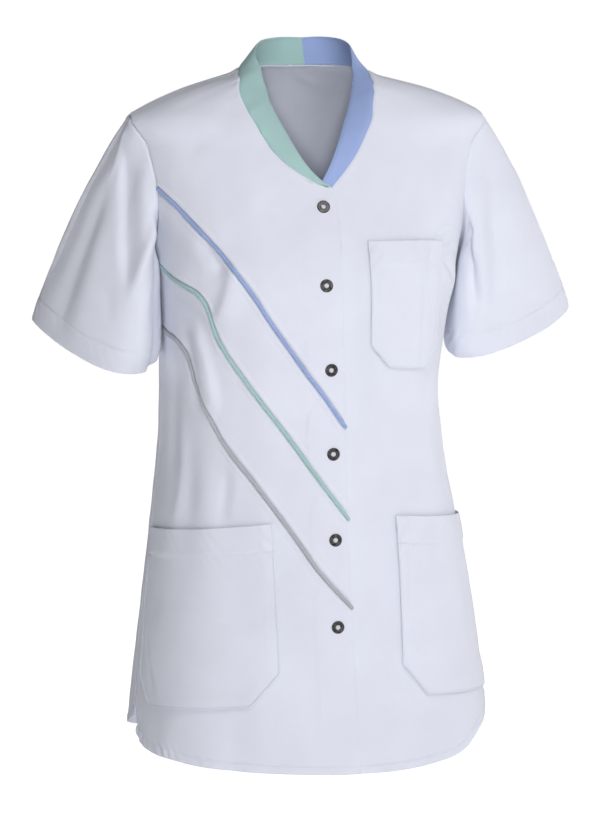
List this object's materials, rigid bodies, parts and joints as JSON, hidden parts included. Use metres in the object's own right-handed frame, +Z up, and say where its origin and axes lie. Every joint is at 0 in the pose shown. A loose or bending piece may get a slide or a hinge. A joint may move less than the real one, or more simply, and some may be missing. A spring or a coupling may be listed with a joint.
{
  "type": "work tunic",
  "caption": "Short-sleeved work tunic in white twill, filled out as if worn, with a two-coloured neck band, slanting piped seams, ring snaps and patch pockets.",
  "frame": {"origin": "centre of the neck opening, level with the base of the neck, where the garment sits on the shoulders", "axes": "+Z up towards the neck, -Y out of the front, +X towards the wearer's left"},
  "size_m": [0.5744, 0.3, 0.7592],
  "materials": {
    "white_twill": "matt twill",
    "mint_twill": "matt twill",
    "blue_twill": "matt twill",
    "grey_twill": "matt twill",
    "snap_metal": "dark satin"
  },
  "bodies": {
    "root": {"back": "white_twill", "front_right_1": "white_twill", "front_right_2": "white_twill", "front_right_3": "white_twill", "front_right_4": "white_twill", "front_left": "white_twill", "sleeve_right": "white_twill", "sleeve_left": "white_twill", "band_right": "mint_twill", "band_left": "blue_twill", "piping_blue": "blue_twill", "piping_mint": "mint_twill", "piping_grey": "grey_twill", "pocket_chest": "white_twill", "pocket_hip_right": "white_twill", "pocket_hip_left": "white_twill", "snap_1": "snap_metal", "snap_2": "snap_metal", "snap_3": "snap_metal", "snap_4": "snap_metal", "snap_5": "snap_metal", "snap_6": "snap_metal", "snap_back_1": "snap_metal", "snap_back_2": "snap_metal", "snap_back_3": "snap_metal", "snap_back_4": "snap_metal", "snap_back_5": "snap_metal", "snap_back_6": "snap_metal"}
  },
  "joints": []
}
